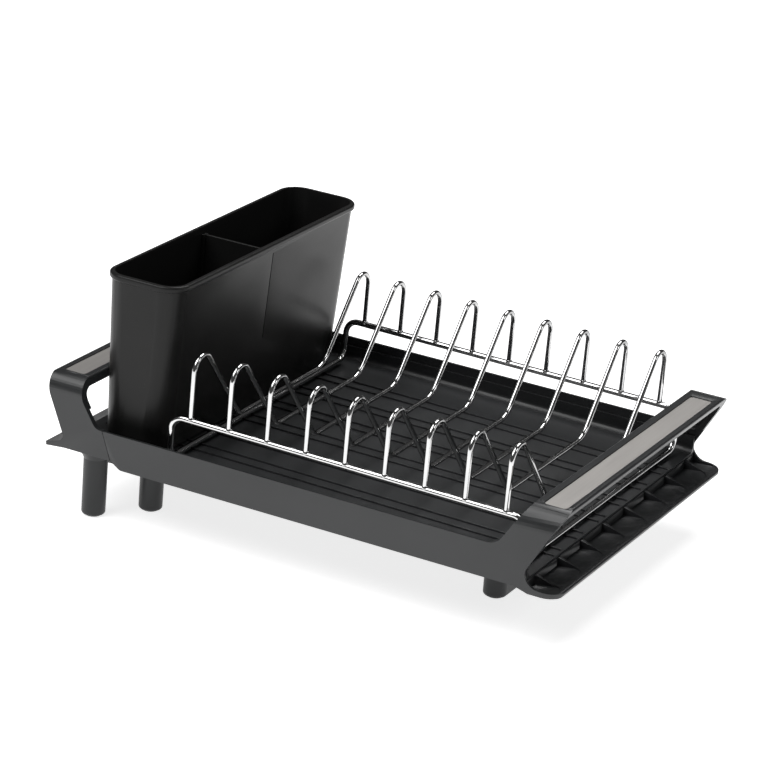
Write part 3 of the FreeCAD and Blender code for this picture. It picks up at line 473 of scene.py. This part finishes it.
@dataclass
class Trays:
    """The outer and inner trays, with the metal inlays of their handles."""

    shell: MouldedPlastic = MouldedPlastic("tray_satin_plastic", 0.022, gloss=0.34)
    strip: BrushedInlay = BrushedInlay("handle_brushed_strip")
    edges: SoftEdges = field(default_factory=lambda: SoftEdges(0.0006))
    inner_edges: SoftEdges = field(default_factory=lambda: SoftEdges(0.0009, 3))

    def build(self) -> None:
        """Make and dress both trays."""
        plastic, metal = self.shell.build(), self.strip.build()
        self.edges.carry("main_tray", "outer_tray_shell", Body.OUTER_TRAY, Slot.TRAY, plastic)
        self.inner_edges.carry("extension_tray", "inner_tray_shell", Body.INNER_TRAY, Slot.TRAY,
                               plastic)
        for node in ("main_handle_inlay", "extension_handle_inlay"):
            dress(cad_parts[node], metal)


@dataclass
class Legs:
    """The six legs and their rubber soles."""

    plastic: MouldedPlastic = MouldedPlastic("leg_satin_plastic", 0.02, gloss=0.42,
                                             reflection=0.4, cloud=22.0)
    rubber: RubberSole = RubberSole("sole_rubber")

    def build(self) -> None:
        """Dress the legs and soles."""
        plastic, rubber = self.plastic.build(), self.rubber.build()
        for name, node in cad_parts.items():
            if name.endswith("_leg"):
                dress(node, plastic)
            elif name.endswith("_foot_pad"):
                dress(node, rubber)


@dataclass
class WireRack:
    """The chromed wire rack: its frame, the plate wires and the welds between them."""

    chrome: ChromePlate = ChromePlate("chrome_plate")
    wire_radius: float = 0.0021
    foot_reach: float = 2.2  # wire radii in from a wire's end where its foot is looked for
    weld_radius: float = 0.003
    weld_height: float = 0.0012
    weld_fit: float = 1.08  # a collar's top, in wire radii
    weld_bevel: float = 0.0003

    def build(self) -> None:
        """Dress the wires and add the welds."""
        chrome = self.chrome.build()
        dress(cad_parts["rack_frame"], chrome)
        for name in sorted(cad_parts):
            if name.startswith("plate_wire_"):
                dress(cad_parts[name], chrome)
                self.weld(name, chrome)

    def feet(self, node: str) -> list:
        """Where a plate wire meets the two rails: the middle of each of its lowest ends."""
        low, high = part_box(node)
        found = []
        for y, side in ((low.y, 1), (high.y, -1)):
            spots = [v.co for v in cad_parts[node].data.vertices
                     if abs(v.co.y - y) < self.foot_reach * self.wire_radius]
            foot = min(spot.z for spot in spots)
            found.append(Vector(((low.x + high.x) / 2, y + side * self.wire_radius, foot)))
        return found

    def weld(self, node: str, chrome: bpy.types.Material) -> None:
        """Add the small collars of weld metal where a plate wire stands on the rails."""
        shape = bmesh.new()
        for foot in self.feet(node):
            made = bmesh.ops.create_cone(shape, cap_ends=True, segments=24,
                                         radius1=self.weld_radius,
                                         radius2=self.wire_radius * self.weld_fit,
                                         depth=self.weld_height * 2)
            bmesh.ops.translate(shape, verts=made["verts"], vec=foot)
        bmesh.ops.bevel(shape, geom=shape.edges[:], offset=self.weld_bevel, segments=2,
                        affect="EDGES", profile=0.5, material=-1)
        add_piece(f"{node}_welds", shape, Body.WIRE_RACK, chrome)


@dataclass
class CutleryCaddy:
    """The tall caddy and its lift-out divider."""

    plastic: MouldedPlastic = MouldedPlastic("caddy_satin_plastic", 0.012, warmth=0.01, gloss=0.33,
                                             reflection=0.2)
    edges: SoftEdges = field(default_factory=lambda: SoftEdges(0.0007, 3))
    divider_edges: SoftEdges = field(default_factory=lambda: SoftEdges(0.0005))

    def build(self) -> None:
        """Make and dress both pieces."""
        plastic = self.plastic.build()
        self.edges.carry("caddy_body", "caddy_shell", Body.CADDY, Slot.CADDY, plastic)
        self.divider_edges.carry("caddy_divider", "divider_plate", Body.DIVIDER, Slot.CADDY,
                                 plastic)


# ---------------------------------------------------------------- studio

@dataclass
class Studio:
    """The floor, the lights and the camera."""

    azimuth: float = 26.655
    elevation: float = 21.011
    roll: float = 4.805
    distance: float = 2.6355
    lens: float = 152.0
    target: tuple = (-0.01128, -0.00108, 0.11465)
    view_reach: float = 40.0
    floor_size: float = 14.0
    room_light: float = 0.07
    paper: StudioPaper = StudioPaper("studio_paper")

    def build(self) -> None:
        """Set up everything that isn't the rack."""
        self.floor()
        self.sky()
        self.soft_box("key", place=(-1.1, -1.2, 2.6), aim=(0.0, 0.0, 0.1), size=2.2, power=62.0)
        self.soft_box("overhead", place=(0.0, 1.3, 2.5), aim=(0.0, 0.1, 0.0), size=1.5,
                      power=40.0)
        self.soft_box("side", place=(2.7, 0.4, 1.9), aim=(0.0, 0.0, 0.1), size=0.9, power=8.0)
        self.camera()

    def floor(self) -> None:
        """Lay the pale floor."""
        shape = bmesh.new()
        bmesh.ops.create_grid(shape, x_segments=8, y_segments=8, size=self.floor_size)
        mesh = bpy.data.meshes.new("studio_floor")
        shape.to_mesh(mesh)
        shape.free()
        floor = bpy.data.objects.new("studio_floor", mesh)
        bpy.context.scene.collection.objects.link(floor)
        dress(floor, self.paper.build())

    def sky(self) -> None:
        """Add a dim room for the lights to stand in, and show colours without a film curve."""
        world = bpy.data.worlds.new("studio_room")
        world.use_nodes = True
        bpy.context.scene.world = world
        room = world.node_tree.nodes["Background"]
        room.inputs["Color"].default_value = grey(1.0)
        room.inputs["Strength"].default_value = self.room_light
        bpy.context.scene.view_settings.view_transform = "Standard"

    def soft_box(self, name: str, place: tuple, aim: tuple, size: float, power: float) -> None:
        """Add one square soft light.

        Args:
            name: the light's name.
            place: where it hangs.
            aim: the point that it faces.
            size: the length of its side.
            power: its power in watts.
        """
        light = bpy.data.lights.new(name, "AREA")
        light.shape = "SQUARE"
        light.size = size
        light.energy = power
        lamp = bpy.data.objects.new(name, light)
        bpy.context.scene.collection.objects.link(lamp)
        turn = (Vector(place) - Vector(aim)).to_track_quat("Z", "Y").to_matrix().to_4x4()
        lamp.matrix_world = Matrix.Translation(place) @ turn

    def camera(self) -> None:
        """Stand the camera where the rack is seen from."""
        azimuth, elevation, roll = (math.radians(degrees) for degrees in
                                    (self.azimuth, self.elevation, self.roll))
        back = Vector((math.sin(azimuth) * math.cos(elevation),
                       -math.cos(azimuth) * math.cos(elevation), math.sin(elevation)))
        right = Vector((math.cos(azimuth), math.sin(azimuth), 0.0))
        up = back.cross(right)
        turned_right = math.cos(roll) * right + math.sin(roll) * up
        turned_up = math.cos(roll) * up - math.sin(roll) * right
        data = bpy.data.cameras.new("camera")
        data.lens = self.lens
        data.sensor_width = SENSOR_WIDTH
        data.clip_end = self.view_reach
        camera = bpy.data.objects.new("camera", data)
        bpy.context.scene.collection.objects.link(camera)
        turn = Matrix((turned_right, turned_up, back)).transposed().to_4x4()
        camera.matrix_world = Matrix.Translation(Vector(self.target) + back * self.distance) @ turn
        bpy.context.scene.camera = camera


def main() -> None:
    """Build the rack and the studio around it."""
    logging.basicConfig(level=logging.INFO, format="%(message)s")
    for assembly in (Trays(), Legs(), WireRack(), CutleryCaddy(), Studio()):
        assembly.build()
        log.info("built %s", type(assembly).__name__)


if __name__ == "__main__":
    main()
